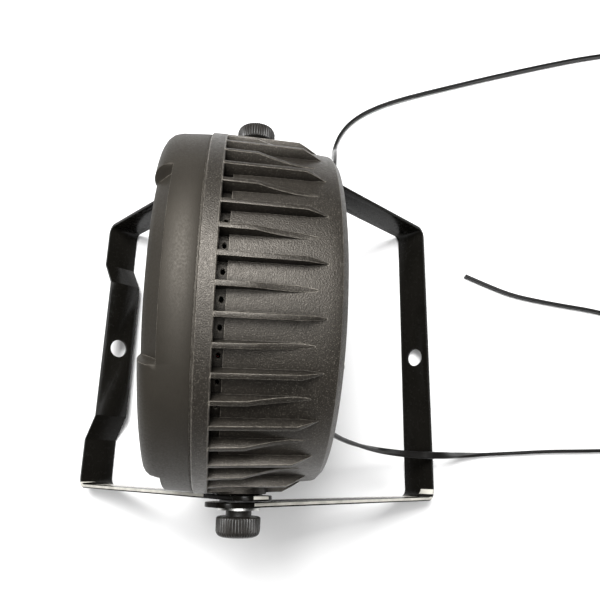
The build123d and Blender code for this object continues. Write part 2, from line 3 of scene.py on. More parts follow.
import bmesh
import bpy
from math import cos, pi, radians, sin
from mathutils import Matrix, Vector
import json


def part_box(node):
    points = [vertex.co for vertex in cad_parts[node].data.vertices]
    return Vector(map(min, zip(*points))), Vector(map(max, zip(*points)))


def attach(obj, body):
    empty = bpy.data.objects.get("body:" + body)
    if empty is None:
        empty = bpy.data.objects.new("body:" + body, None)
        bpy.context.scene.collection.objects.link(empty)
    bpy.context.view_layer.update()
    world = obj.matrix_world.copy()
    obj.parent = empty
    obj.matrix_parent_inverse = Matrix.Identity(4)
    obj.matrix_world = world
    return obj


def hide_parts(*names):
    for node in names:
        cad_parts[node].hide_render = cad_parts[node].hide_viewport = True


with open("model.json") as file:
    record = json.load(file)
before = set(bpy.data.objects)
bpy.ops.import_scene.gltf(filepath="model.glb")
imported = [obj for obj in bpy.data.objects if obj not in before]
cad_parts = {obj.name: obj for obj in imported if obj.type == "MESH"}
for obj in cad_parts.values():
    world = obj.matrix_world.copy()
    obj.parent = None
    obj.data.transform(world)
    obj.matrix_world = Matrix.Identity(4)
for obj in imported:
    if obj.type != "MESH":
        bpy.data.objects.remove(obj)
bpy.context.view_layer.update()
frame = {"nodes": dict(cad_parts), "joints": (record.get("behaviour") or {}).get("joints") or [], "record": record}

# ---- driving dimensions, in metres, as in the CAD ----------------------------------------------
mm = 0.001
tip_r = 105.0 * mm            # over the fin tips and the collar
floor_r = 98.6 * mm           # drum between the fins
front, ledge, seam = -50.6 * mm, -44.0 * mm, -25.3 * mm
fins_start, flange_inner, cover_seat, back = -17.0 * mm, 39.4 * mm, 42.0 * mm, 44.0 * mm
knob_r = 12.4 * mm

# the pivot axis, read back from the frame's first hinge, and the lamp's lean as in the CAD
swing = next(j for j in frame["joints"] if j["name"] == "front_bracket_swing")
pivot = Vector(swing["pos_m"])
lean = radians(6.3)
lamp_frame = Matrix.Translation(pivot) @ Matrix.Rotation(-lean, 4, "X")


# ---- mesh helpers ----------------------------------------------------------------------------
def placed(name, data):
    """New object in the scene."""
    item = bpy.data.objects.new(name, data)
    bpy.context.scene.collection.objects.link(item)
    return item


def new_piece(name, mesh, body, look, slot, *nodes):
    """Object for a mesh with its look, riding on a body and standing for CAD nodes."""
    piece = placed(name, mesh)
    mesh.materials.clear()
    mesh.materials.append(looks[look])
    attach(piece, body)
    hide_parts(*nodes)
    return piece


def evaluated(holder):
    """Mesh of an object with its modifiers applied; the object itself goes."""
    graph = bpy.context.evaluated_depsgraph_get()
    mesh = bpy.data.meshes.new_from_object(holder.evaluated_get(graph))
    bpy.data.objects.remove(holder)
    return mesh


def shaded(mesh, sharp):
    """The mesh shaded smooth, but for edges sharper than the angle in degrees."""
    for polygon in mesh.polygons:
        polygon.use_smooth = True
    mesh.set_sharp_from_angle(angle=radians(sharp))
    return mesh


def finished(bm, name, sharp=35, frame_matrix=None):
    """Shaded mesh of a bmesh, with outward normals."""
    bmesh.ops.recalc_face_normals(bm, faces=bm.faces)
    mesh = bpy.data.meshes.new(name)
    bm.to_mesh(mesh)
    bm.free()
    if frame_matrix is not None:
        mesh.transform(frame_matrix)
    return shaded(mesh, sharp)


def skin(bm, rings, closed=True):
    """Faces from ring to ring. A closed run joins the last ring to the first, an open one gets two ends."""
    following = rings[1:] + rings[:1] if closed else rings[1:]
    for here, after in zip(rings, following):
        for i, start in enumerate(here):
            j = (i + 1) % len(here)
            bm.faces.new([start, here[j], after[j], after[i]])
    if not closed:
        bm.faces.new(rings[0])
        bm.faces.new(rings[-1])


def columns(profiles):
    """Closed bmesh round the optical axis: each profile is (angle, [(station, radius), ...])."""
    weld = 1e-7
    bm = bmesh.new()
    rings = []
    for angle, outline in profiles:
        rings.append([bm.verts.new((r * sin(angle), y, r * cos(angle))) for y, r in outline])
    skin(bm, rings)
    bmesh.ops.remove_doubles(bm, verts=bm.verts, dist=weld)
    bmesh.ops.dissolve_degenerate(bm, dist=weld, edges=bm.edges)
    return bm


def rounded(mesh, width):
    """The mesh with its sharp edges rolled over."""
    sharp = 35
    holder = placed("rounding", mesh)
    roll = holder.modifiers.new("roll", "BEVEL")
    roll.width = width
    roll.segments = 2
    roll.limit_method = "ANGLE"
    roll.angle_limit = radians(sharp)
    roll.use_clamp_overlap = True
    return shaded(evaluated(holder), sharp + 10)


def rolled_copy(node, width):
    """Mesh of a CAD node with its edges rolled over, as a bent or moulded edge really is."""
    weld = 2e-6
    flat = radians(0.6)
    bm = bmesh.new()
    bm.from_mesh(frame["nodes"][node].data)
    bmesh.ops.remove_doubles(bm, verts=bm.verts, dist=weld)
    bmesh.ops.dissolve_limit(bm, angle_limit=flat, verts=bm.verts, edges=bm.edges)
    return rounded(finished(bm, node + "_edges"), width)


def eased(t):
    """0 to 1 with a soft start and a soft end."""
    return t * t * (3 - 2 * t)


# ---- node material helper --------------------------------------------------------------------
class Nodes:
    """Small builder for a node tree that ends in one Principled shader."""

    def __init__(self, name):
        self.material = bpy.data.materials.new(name)
        self.material.use_nodes = True
        self.tree = self.material.node_tree
        self.shader = self.tree.nodes["Principled BSDF"]
        self.place = self.add("ShaderNodeTexCoord").outputs["Object"]

    def add(self, kind, **settings):
        node = self.tree.nodes.new(kind)
        for key, value in settings.items():
            setattr(node, key, value)
        return node

    def link(self, output, target):
        self.tree.links.new(output, target)

    def noise(self, scale, detail=3.0, stretch=None):
        node = self.add("ShaderNodeTexNoise")
        node.inputs["Scale"].default_value = scale
        node.inputs["Detail"].default_value = detail
        if stretch is None:
            self.link(self.place, node.inputs["Vector"])
        else:
            squeeze = self.add("ShaderNodeMapping")
            squeeze.inputs["Scale"].default_value = stretch
            self.link(self.place, squeeze.inputs["Vector"])
            self.link(squeeze.outputs["Vector"], node.inputs["Vector"])
        return node.outputs["Fac"]

    def spread(self, value, low, high, from_low=0.3, from_high=0.7):
        node = self.add("ShaderNodeMapRange")
        self.link(value, node.inputs["Value"])
        node.inputs["From Min"].default_value = from_low
        node.inputs["From Max"].default_value = from_high
        node.inputs["To Min"].default_value = low
        node.inputs["To Max"].default_value = high
        return node.outputs["Result"]

    def math(self, operation, a, b):
        node = self.add("ShaderNodeMath", operation=operation)
        for socket, value in zip(node.inputs, (a, b)):
            if isinstance(value, (int, float)):
                socket.default_value = value
            else:
                self.link(value, socket)
        return node.outputs["Value"]

    def mix(self, factor, a, b):
        """Colour mix; a and b are colours or outputs."""
        node = self.add("ShaderNodeMix", data_type="RGBA")
        self.link(factor, node.inputs["Factor"])
        for key, value in (("A", a), ("B", b)):
            socket = next(s for s in node.inputs if s.name == key and s.type == "RGBA")
            if isinstance(value, tuple):
                socket.default_value = (*value, 1.0)
            else:
                self.link(value, socket)
        return next(s for s in node.outputs if s.type == "RGBA")

    def bump(self, height, strength, distance):
        node = self.add("ShaderNodeBump")
        node.inputs["Strength"].default_value = strength
        node.inputs["Distance"].default_value = distance
        self.link(height, node.inputs["Height"])
        return node.outputs["Normal"]

    def edges(self, radius):
        """1 along edges sharper than the radius, 0 on faces."""
        soft = self.add("ShaderNodeBevel", samples=4)
        soft.inputs["Radius"].default_value = radius
        geometry = self.add("ShaderNodeNewGeometry")
        turn = self.add("ShaderNodeVectorMath", operation="DOT_PRODUCT")
        self.link(soft.outputs["Normal"], turn.inputs[0])
        self.link(geometry.outputs["Normal"], turn.inputs[1])
        off = self.math("SUBTRACT", 1.0, turn.outputs["Value"])
        return self.spread(off, 0.0, 1.0, 0.01, 0.14)

    def openness(self, distance, low=0.25, high=0.85):
        """0 deep in a crevice, 1 on open faces."""
        node = self.add("ShaderNodeAmbientOcclusion", samples=6)
        node.inputs["Distance"].default_value = distance
        return self.spread(node.outputs["AO"], 0.0, 1.0, low, high)

    def colour(self):
        """What the base colour is linked to now."""
        return self.shader.inputs["Base Color"].links[0].from_socket

    def band(self, value, low, high):
        """1 where the value lies between two limits, else 0."""
        above = self.math("GREATER_THAN", value, low)
        below = self.math("LESS_THAN", value, high)
        return self.math("MULTIPLY", above, below)

    def set(self, **sockets):
        """Fixed or linked values of the shader's sockets; underscores stand for spaces."""
        for key, value in sockets.items():
            socket = self.shader.inputs[key.replace("_", " ")]
            if isinstance(value, bpy.types.NodeSocket):
                self.link(value, socket)
            elif isinstance(value, tuple):
                socket.default_value = (*value, 1.0)
            else:
                socket.default_value = value


def moulded(name, dark, light, rough, grain, grain_depth, edge_wear_and_highlight=None, edge_wear_and_highlight_radius=0.0005, sparkle=None,
            crevice=None):
    """Moulded plastic: mottled colour, grain bump, roughness that varies, edges painted lighter for wear and as a
    painted highlight, dimmed in crevices, and painted glints in the grain.
    """
    n = Nodes(name)
    cloud = n.noise(28, 4)
    speck = n.noise(grain, 2)
    colour = n.mix(n.spread(cloud, 0, 1), dark, light)
    # edges painted lighter: partly rubbed wear, partly a painted highlight where edges catch light
    if edge_wear_and_highlight is not None:
        patchy = n.spread(n.noise(420, 3), 0.25, 1.0, 0.35, 0.6)
        wear_and_highlight_mask = n.math("MULTIPLY", n.edges(edge_wear_and_highlight_radius), patchy)
        # the lighter edges are dimmed in crevices, as painted shade
        if crevice is not None:
            wear_and_highlight_mask = n.math("MULTIPLY", wear_and_highlight_mask, n.openness(crevice, 0.4, 0.9))
        colour = n.mix(wear_and_highlight_mask, colour, edge_wear_and_highlight)
    # painted glints: bright specks in the colour stand in for light sparkling off the grain
    if sparkle is not None:
        glint = n.spread(n.noise(grain * 1.3, 1), 0.0, 1.0, 0.60, 0.72)
        colour = n.mix(glint, colour, sparkle)
    n.set(Base_Color=colour)
    n.set(Roughness=n.spread(n.noise(grain * 0.35, 3), rough - 0.07, rough + 0.07))
    n.set(Normal=n.bump(speck, 0.8, grain_depth))
    return n


def housing_plastic():
    n = moulded("housing_plastic", (0.009, 0.0078, 0.0062), (0.017, 0.0145, 0.0118), 0.43, 1500, 0.00026,
                edge_wear_and_highlight=(0.34, 0.31, 0.265), edge_wear_and_highlight_radius=0.0005, sparkle=(0.09, 0.082, 0.068), crevice=0.002)
    # painted shade: the colour goes near black and the reflection fades in crevices and the pockets, where shade
    # falls
    painted_shade = n.openness(0.007)
    n.set(Base_Color=n.mix(painted_shade, (0.004, 0.0036, 0.003), n.colour()))
    n.set(Specular_IOR_Level=n.spread(painted_shade, 0.06, 0.5, 0.0, 1.0))
    n.set(Specular_Tint=(1.0, 0.93, 0.84))
    return n.material


def bezel_plastic():
    n = moulded("bezel_plastic", (0.013, 0.0112, 0.0088), (0.022, 0.0192, 0.0150), 0.56, 2600, 0.00006,
                edge_wear_and_highlight=(0.24, 0.22, 0.19), edge_wear_and_highlight_radius=0.0004)
    n.set(Specular_IOR_Level=0.42)
    n.set(Specular_Tint=(1.0, 0.93, 0.83))
    return n.material


def knob_plastic():
    return moulded("knob_plastic", (0.008, 0.0072, 0.006), (0.014, 0.0125, 0.0105), 0.42, 2200, 0.00004,
                   edge_wear_and_highlight=(0.11, 0.1, 0.09), edge_wear_and_highlight_radius=0.0003).material


def cover_plastic():
    return moulded("cover_plastic", (0.026, 0.025, 0.024), (0.036, 0.034, 0.032), 0.46, 1700, 0.00008,
                   edge_wear_and_highlight=(0.12, 0.11, 0.1)).material


def panel_plastic():
    n = moulded("panel_plastic", (0.015, 0.015, 0.016), (0.022, 0.022, 0.023), 0.24, 900, 0.00001)
    n.set(Coat_Weight=0.3, Coat_Roughness=0.12)
    return n.material


def component_black():
    return moulded("component_black", (0.02, 0.02, 0.021), (0.033, 0.032, 0.031), 0.5, 2400,
                   0.00003).material


def nylon():
    return moulded("nylon", (0.07, 0.07, 0.07), (0.10, 0.10, 0.098), 0.45, 2000, 0.00003).material


def button_rubber():
    return moulded("button_rubber", (0.045, 0.045, 0.047), (0.065, 0.065, 0.068), 0.62, 2600,
                   0.00003).material


def capacitor_can():
    return moulded("capacitor_can", (0.02, 0.03, 0.075), (0.03, 0.04, 0.1), 0.3, 1200, 0.00001).material


def wire_insulation():
    return moulded("wire_insulation", (0.42, 0.02, 0.015), (0.5, 0.03, 0.02), 0.35, 1800, 0.00001).material


def painted_arm_edge_highlight(n):
    """Mask of a painted highlight on the near arms' upper edges, but for their outer corners, broken into patches.
    """
    inner_arm = (103.5 * mm, 107.0 * mm)
    outer_arm = (108.8 * mm, 110.9 * mm)
    pivot_y, pivot_reach = -8.0 * mm, 15.0 * mm     # no painted highlight beside the knob
    crossbar_top = 12.0 * mm
    least_upward = 0.55
    coordinates = n.add("ShaderNodeTexCoord")
    place = n.add("ShaderNodeSeparateXYZ")
    facing = n.add("ShaderNodeSeparateXYZ")
    n.link(coordinates.outputs["Object"], place.inputs["Vector"])
    n.link(coordinates.outputs["Normal"], facing.inputs["Vector"])
    x, y, z = place.outputs
    arms = n.math("ADD", n.band(x, *inner_arm), n.band(x, *outer_arm))
    upward = n.math("GREATER_THAN", facing.outputs["Z"], least_upward)
    from_pivot = n.math("ABSOLUTE", n.math("SUBTRACT", y, pivot_y), 0.0)
    off_pivot = n.math("GREATER_THAN", from_pivot, pivot_reach)
    off_crossbar = n.math("GREATER_THAN", z, crossbar_top)
    mask = n.spread(n.noise(90, 3), 0.6, 1.0)
    for part in (arms, upward, off_pivot, off_crossbar):
        mask = n.math("MULTIPLY", mask, part)
    return mask


def powder_coat():
    """Near-black powder coat with painted light: a painted reflection makes it pale where seen at a grazing angle,
    and a painted highlight lies on the near arms' upper edges.
    """
    painted_light_colour = (0.62, 0.60, 0.54)
    n = moulded("powder_coat", (0.0035, 0.0032, 0.0026), (0.0065, 0.006, 0.005), 0.24, 900, 0.00001)
    n.set(Specular_IOR_Level=0.09)
    # painted reflection: a pale colour at grazing angles stands in for the white floor mirrored there
    painted_grazing_sheen = n.spread(n.add("ShaderNodeLayerWeight").outputs["Facing"], 0.0, 1.0, 0.88, 0.95)
    n.set(Base_Color=n.mix(painted_grazing_sheen, n.colour(), painted_light_colour))
    # painted highlight on the near arms' upper edges
    n.set(Base_Color=n.mix(painted_arm_edge_highlight(n), n.colour(), painted_light_colour))
    return n.material


def lead_pvc():
    """Glossy cord jacket with a fine grain."""
    n = moulded("lead_pvc", (0.004, 0.0038, 0.0035), (0.008, 0.0075, 0.007), 0.34, 700, 0.00003)
    n.set(Specular_IOR_Level=0.32)
    return n.material


def plug_pvc():
    return moulded("plug_pvc", (0.012, 0.012, 0.012), (0.02, 0.0195, 0.019), 0.38, 1800, 0.00004).material


def metal(name, dark, light, rough, scratch=(900, 60, 900)):
    """Plated or turned metal: tone changes and fine scratches one way."""
    n = Nodes(name)
    tone = n.spread(n.noise(120, 4), 0, 1)
    marks = n.noise(1.0, 4, stretch=scratch)
    n.set(Base_Color=n.mix(tone, dark, light))
    n.set(Roughness=n.spread(marks, rough - 0.08, rough + 0.1))
    n.set(Normal=n.bump(marks, 0.25, 0.00002))
    n.set(Metallic=1.0)
    return n.material


def clear_acrylic():
    """Clear moulded lens: slight waviness, a breath of dust in the roughness."""
    n = Nodes("clear_acrylic")
    n.set(Base_Color=n.mix(n.spread(n.noise(200, 2), 0, 1), (0.92, 0.95, 0.96), (0.98, 0.99, 1.0)))
    n.set(Roughness=n.spread(n.noise(600, 3), 0.03, 0.12))
    n.set(Normal=n.bump(n.noise(260, 2), 0.15, 0.00003))
    n.set(Transmission_Weight=0.92, IOR=1.49)
    return n.material


def led_package():
    """Yellow phosphor with a grainy surface."""
    n = Nodes("led_package")
    n.set(Base_Color=n.mix(n.spread(n.noise(3500, 2), 0, 1), (0.78, 0.6, 0.12), (0.92, 0.8, 0.35)))
    n.set(Roughness=n.spread(n.noise(900, 2), 0.3, 0.5))
    n.set(Normal=n.bump(n.noise(4000, 2), 0.2, 0.00002))
    return n.material


def circuit_board():
    """White solder mask with a faint weave."""
    n = Nodes("circuit_board")
    weave = n.noise(1.0, 2, stretch=(1200, 200, 1200))
    n.set(Base_Color=n.mix(n.spread(weave, 0, 1), (0.66, 0.68, 0.66), (0.8, 0.81, 0.79)))
    n.set(Roughness=n.spread(n.noise(300, 3), 0.35, 0.5))
    n.set(Normal=n.bump(weave, 0.2, 0.00002))
    return n.material


def studio_floor():
    """Pale seamless paper."""
    n = Nodes("studio_floor")
    n.set(Base_Color=n.mix(n.spread(n.noise(6, 3), 0, 1), (0.86, 0.86, 0.86), (0.89, 0.89, 0.89)))
    n.set(Roughness=n.spread(n.noise(60, 3), 0.6, 0.75))
    n.set(Specular_IOR_Level=0.2)
    return n.material


looks = {
    "housing_plastic": housing_plastic(),
    "bezel_plastic": bezel_plastic(),
    "cover_plastic": cover_plastic(),
    "panel_plastic": panel_plastic(),
    "knob_plastic": knob_plastic(),
    "bracket_steel": powder_coat(),
    "component_black": component_black(),
    "nylon": nylon(),
    "button_rubber": button_rubber(),
    "capacitor_can": capacitor_can(),
    "wire_insulation": wire_insulation(),
    "lead_pvc": lead_pvc(),
    "plug_pvc": plug_pvc(),
    "zinc_steel": metal("zinc_steel", (0.42, 0.42, 0.40), (0.58, 0.58, 0.56), 0.34),
    "bare_aluminium": metal("bare_aluminium", (0.62, 0.63, 0.64), (0.74, 0.75, 0.76), 0.32),
    "brass_metal": metal("brass_metal", (0.55, 0.40, 0.16), (0.66, 0.5, 0.22), 0.28),
    "clear_acrylic": clear_acrylic(),
    "led_package": led_package(),
    "circuit_board": circuit_board(),
}


# ---- camera ------------------------------------------------------------------------------------
def add_camera():
    """Above the lamp, looking down, with the pivot axis up and down the picture, as fitted to the photo."""
    place = (0.09083, 0.02814, 0.48778)
    ahead = Vector((-0.27757, 0.00350, -0.96070)).normalized()
    roughly_up = Vector((-0.96047, -0.02316, 0.27742))
    data = bpy.data.cameras.new("camera")
    data.sensor_width = 36.0
    data.lens = 35.13
    data.clip_start = 0.01
    data.clip_end = 20.0
    camera = placed("camera", data)
    side = ahead.cross(roughly_up).normalized()
    turn = Matrix((side, side.cross(ahead), -ahead)).transposed().to_4x4()
    camera.matrix_world = Matrix.Translation(place) @ turn
    bpy.context.scene.camera = camera


add_camera()


# ---- leads -------------------------------------------------------------------------------------
cord_width = 5.4 * mm
cord_thick = 2.8 * mm
lie = cord_width / 2          # centre height of a lead that stands on its edge


def relief_end(node, side):
    """Where a lead leaves its strain relief."""
    low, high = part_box(node)
    x = low[0] if side < 0 else high[0]
    return (x, (low[1] + high[1]) / 2, (low[2] + high[2]) / 2)


power_exit = relief_end("power_lead_relief", -1)
link_exit = relief_end("link_lead_relief", 1)

# over the back bracket's arm, down beside it, and away over the floor to the coil
power_route = [
    power_exit,
    (-0.0610, power_exit[1], power_exit[2]),
    (-0.0765, 0.0472, 0.1239),
    (-0.0940, 0.0498, 0.1234),
    (-0.1120, 0.0515, 0.1196),
    (-0.1270, 0.0526, 0.1090),
    (-0.1400, 0.0536, 0.0930),
    (-0.1510, 0.0544, 0.0730),
    (-0.1620, 0.0553, 0.0500),
    (-0.1730, 0.0562, 0.0290),
    (-0.1840, 0.0570, 0.0130),
    (-0.1960, 0.0586, 0.0046),
    (-0.2090, 0.0626, lie),
    (-0.2220, 0.0706, lie),
    (-0.2340, 0.0840, lie),
    (-0.2445, 0.1030, lie),
    (-0.2530, 0.1250, lie),
    (-0.2605, 0.1490, lie),
    (-0.2685, 0.1760, lie),
    (-0.2770, 0.2050, lie),
    (-0.2860, 0.2370, lie),
    (-0.2950, 0.2700, lie),
    (-0.3035, 0.3040, lie),
    (-0.3090, 0.3340, lie),
    (-0.3110, 0.3570, lie),
]

# down beside the lamp, over the back bracket's crossbar, round a wide bend and back
link_route = [
    link_exit,
    (0.0536, link_exit[1], link_exit[2]),
    (0.0592, 0.0455, 0.1212),
    (0.0638, 0.0467, 0.1169),
    (0.0670, 0.0490, 0.1104),
    (0.0692, 0.0534, 0.1004),
    (0.0716, 0.0608, 0.0866),
    (0.0742, 0.0725, 0.0695),
    (0.0762, 0.0866, 0.0518),
    (0.0772, 0.0985, 0.0398),
    (0.0780, 0.1105, 0.0322),
    (0.0787, 0.1225, 0.0288),
    (0.0785, 0.1345, 0.0274),
    (0.0782, 0.1460, 0.0206),
    (0.0777, 0.1575, 0.0106),
    (0.0770, 0.1700, 0.0044),
    (0.0760, 0.1860, lie),
    (0.0746, 0.2070, lie),
    (0.0728, 0.2320, lie),
    (0.0720, 0.2580, lie),
    (0.0710, 0.2840, lie),
    (0.0670, 0.3090, lie),
    (0.0550, 0.3300, lie),
    (0.0360, 0.3440, lie),
    (0.0120, 0.3480, lie),
    (-0.0110, 0.3410, lie),
    (-0.0290, 0.3260, lie),
    (-0.0400, 0.3050, lie),
    (-0.0460, 0.2810, lie),
    (-0.0495, 0.2570, lie),
    (-0.0535, 0.2340, lie),
    (-0.0580, 0.2130, lie),
    (-0.0655, 0.1940, lie),
    (-0.0746, 0.1737, lie),
]

coil_low, coil_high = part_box("power_lead_coil")
coil_x = (coil_low[0] + coil_high[0]) / 2
coil_y = (coil_low[1] + coil_high[1]) / 2
coil_lanes = [35.4 * mm, 30.0 * mm, 24.6 * mm, 27.3 * mm, 32.7 * mm]
coil_layers = [0, 0, 0, 1, 1]
layer_step = 4.6 * mm
coil_start = 205.0            # degrees, where the lead comes in
coil_turns = 5.36


def coil_points():
    """Control points of the put-away turns: three lanes on the floor, two on them."""
    points_per_turn = 18
    count = round(coil_turns * points_per_turn)
    per_lane = coil_turns / len(coil_lanes)
    change = 0.25             # share of a lane over which the lead moves to the next
    outward = 1 / cos(pi / points_per_turn)
    points = []
    for k in range(1, count + 1):
        done = k * coil_turns / count
        lane = min(int(done / per_lane), len(coil_lanes) - 1)
        following = min(lane + 1, len(coil_lanes) - 1)
        shift = max(0.0, (done / per_lane - lane - (1 - change)) / change)
        radius = coil_lanes[lane] + (coil_lanes[following] - coil_lanes[lane]) * shift
        layer = coil_layers[lane] + (coil_layers[following] - coil_layers[lane]) * shift
        angle = radians(coil_start - 360 * done)
        points.append((coil_x + radius * outward * cos(angle), coil_y + radius * outward * sin(angle),
                       coil_low[2] + lie + layer * layer_step))
    return points


plug_axis = 6.3 * mm
power_tail = [
    (coil_x + 0.0160, coil_y + 0.0315, 0.0078),
    (coil_x + 0.0310, coil_y + 0.0290, 0.0062),
    (coil_x + 0.0480, coil_y + 0.0272, 0.0050),
    (coil_x + 0.0640, coil_y + 0.0238, plug_axis),
    (coil_x + 0.0800, coil_y + 0.0194, plug_axis),
]


def route_line(points):
    """Points along the NURBS spline of a route."""
    data = bpy.data.curves.new("route", "CURVE")
    data.dimensions = "3D"
    data.resolution_u = 8
    spline = data.splines.new("NURBS")
    spline.points.add(len(points) - 1)
    for point, place in zip(spline.points, points):
        point.co = (*place, 1.0)
    spline.order_u = 3
    spline.use_endpoint_u = True
    mesh = evaluated(placed("route", data))
    line = [v.co.copy() for v in mesh.vertices]
    bpy.data.meshes.remove(mesh)
    return line


def twin_section():
    """Outline of two joined cores: (across, through) offsets."""
    core_r = cord_thick / 2
    core_at = cord_width / 2 - core_r
    web = 0.75 * mm           # half the thickness between the cores
    reach = 72                # degrees of each core's outline to both sides
    steps = 9
    outline = []
    for side in (1, -1):
        for k in range(steps):
            angle = radians(-reach + 2 * reach * k / (steps - 1))
            outline.append((side * (core_at + core_r * cos(angle)), side * core_r * sin(angle)))
        outline.append((0.0, side * web))
    return outline


def twist_at(twist, done):
    """Twist at a distance, eased between the listed places."""
    for (a, from_turn), (b, to_turn) in zip(twist, twist[1:]):
        if a <= done <= b:
            return from_turn + (to_turn - from_turn) * eased((done - a) / (b - a))
    return twist[-1][1]


def lead(name, points, twist, *nodes):
    """Twin lead along a route. twist lists (distance, degrees): 0 stands on its edge, 90 lies flat."""
    line = route_line(points)
    section = twin_section()
    bm = bmesh.new()
    rings = []
    done = 0.0
    for i, place in enumerate(line):
        along = (line[min(i + 1, len(line) - 1)] - line[max(i - 1, 0)]).normalized()
        level = along.cross(Vector((0, 0, 1))).normalized()
        upright = level.cross(along).normalized()
        if i:
            done += (place - line[i - 1]).length
        angle = radians(twist_at(twist, done))
        across = upright * cos(angle) + level * sin(angle)
        through = across.cross(along)
        rings.append([bm.verts.new(place + across * a + through * t) for a, t in section])
    skin(bm, rings, closed=False)
    mesh = finished(bm, name, sharp=60)
    return new_piece(name, mesh, "lamp", "lead_pvc", "lead_pvc", *nodes), line


power_twist = [(0.0, 0), (0.20, 0), (0.30, 18), (0.42, -8), (0.54, 0)]
power_lead, power_line = lead("power_lead_twin", power_route + coil_points() + power_tail, power_twist,
                              "power_lead", "power_lead_coil", "power_lead_tail")

link_twist = [(0.0, 0), (0.06, 0), (0.13, 62), (0.155, 84), (0.175, 50), (0.21, 0)]
link_lead, link_line = lead("link_lead_twin", link_route, link_twist, "link_lead")


# ---- rear housing ------------------------------------------------------------------------------
fin_count = 48                # half of them long, half short
pitch_angle = 360 / fin_count
pocket_half = 5.0 * mm
pocket_long = 4.7 * mm
pocket_deep = 1.9 * mm
rim = 0.5 * mm                # rounding of the collar's edges
inner_r = 95.4 * mm
lip_r = 88.0 * mm             # front lip's opening, and the cover's seat
flange_r = 78.0 * mm          # opening behind the back cover
lip_back = -21.0 * mm
fin_front = fins_start - 0.6 * mm
fin_tail = 9.0 * mm           # length over which a fin runs out thin


def drum_outline(sunk):
    """Closed section of the drum, with or without the pocket behind the collar."""
    bottom = floor_r - pocket_deep if sunk else floor_r
    pocket_end = fins_start + pocket_long
    collar = [(seam, tip_r - rim), (seam + rim, tip_r), (fins_start - rim, tip_r), (fins_start, tip_r - rim)]
    pocket = [(fins_start, bottom), (pocket_end, bottom), (pocket_end, floor_r)]
    shoulder = [(6.0 * mm, floor_r - 0.1 * mm), (22.0 * mm, floor_r - 0.4 * mm),
                (34.0 * mm, floor_r - 1.1 * mm), (39.5 * mm, floor_r - 1.6 * mm),
                (40.9 * mm, floor_r - 2.0 * mm), (back - 0.2 * mm, floor_r - 5.0 * mm),
                (back, floor_r - 5.6 * mm)]
    inside = [(back, lip_r), (cover_seat, lip_r), (cover_seat, flange_r), (flange_inner, flange_r),
              (flange_inner, inner_r - 2.6 * mm), (34.0 * mm, inner_r - 0.6 * mm), (lip_back, inner_r),
              (lip_back, lip_r), (seam, lip_r)]
    return collar + pocket + shoulder + inside


def drum():
    """Drum with a pocket between each two fins."""
    profiles = []
    plain, sunk = drum_outline(False), drum_outline(True)
    half = pocket_half / floor_r
    for i in range(fin_count):
        middle = radians((i + 0.5) * pitch_angle)
        profiles.append((middle - radians(pitch_angle / 2), plain))
        profiles.append((middle - half, plain))
        for k in range(-2, 3):
            profiles.append((middle + half * k / 2, sunk))
        profiles.append((middle + half, plain))
    return columns(profiles)


def fin(bm, outline, turn):
    """Flat fin from an outline of (station, radius), thinner towards its tip and its tail."""
    root_half, tip_half = 1.55 * mm, 1.25 * mm
    thinnest = 0.22           # share of the thickness left at the tail's end
    end = max(y for y, r in outline)
    sides = []
    for side in (-1, 1):
        corners = []
        for y, r in outline:
            height = (r - floor_r) / (tip_r - floor_r)
            fade = min(1.0, max(0.0, (end - y) / fin_tail))
            half = (root_half + (tip_half - root_half) * height) * (thinnest + (1 - thinnest) * fade)
            corners.append(bm.verts.new(turn @ Vector((side * half, y, r))))
        sides.append(corners)
    skin(bm, sides, closed=False)


def ramp(y0, r0, y1, r1):
    """Points of a slope that eases out at its lower end."""
    steps = 8
    points = []
    for k in range(1, steps + 1):
        t = k / steps
        points.append((y0 + (y1 - y0) * t, r0 + (r1 - r0) * (1 - (1 - t) ** 1.6)))
    return points


def fins():
    """24 long and 24 short fins, sunk into the drum."""
    root = floor_r - 1.2 * mm
    top_front = (fin_front, tip_r - 0.25 * mm)
    slope_start = (-0.4 * mm, tip_r - 0.9 * mm)
    long_top = [top_front, (23.5 * mm, tip_r - 1.6 * mm), (28.8 * mm, 100.7 * mm),
                (34.0 * mm, floor_r - 1.0 * mm)]
    short_top = [top_front, slope_start] + ramp(*slope_start, 29.0 * mm, floor_r - 0.5 * mm)
    bm = bmesh.new()
    for i in range(fin_count):
        top = short_top if i % 2 else long_top
        end = top[-1][0]
        outline = top + [(end, root - 0.8 * mm), (end - fin_tail, root), (fin_front, root)]
        fin(bm, outline, Matrix.Rotation(radians(i * pitch_angle), 3, "Y"))
    return finished(bm, "fins")


def bosses():
    """Round bosses that the brackets' arms bear on."""
    steps = 64
    inner_end, face, bearing = 90.0 * mm, 104.6 * mm, 105.0 * mm
    bore = 4.06 * mm
    section = [(inner_end, 15.0 * mm), (face - 0.4 * mm, 15.0 * mm), (face, 14.6 * mm), (face, 13.0 * mm),
               (bearing, 12.7 * mm), (bearing, bore), (inner_end, bore)]
    bm = bmesh.new()
    for side in (-1, 1):
        rings = []
        for i in range(steps):
            a = 2 * pi * i / steps
            rings.append([bm.verts.new((side * x, r * cos(a), r * sin(a))) for x, r in section])
        skin(bm, rings)
    return finished(bm, "bosses")


def cut(mesh, cutter):
    """The mesh less the cutter."""
    holder = placed("cut", mesh)
    tool = placed("cutter", cutter)
    take = holder.modifiers.new("take", "BOOLEAN")
    take.operation = "DIFFERENCE"
    take.solver = "EXACT"
    take.object = tool
    result = evaluated(holder)
    bpy.data.objects.remove(tool)
    return result


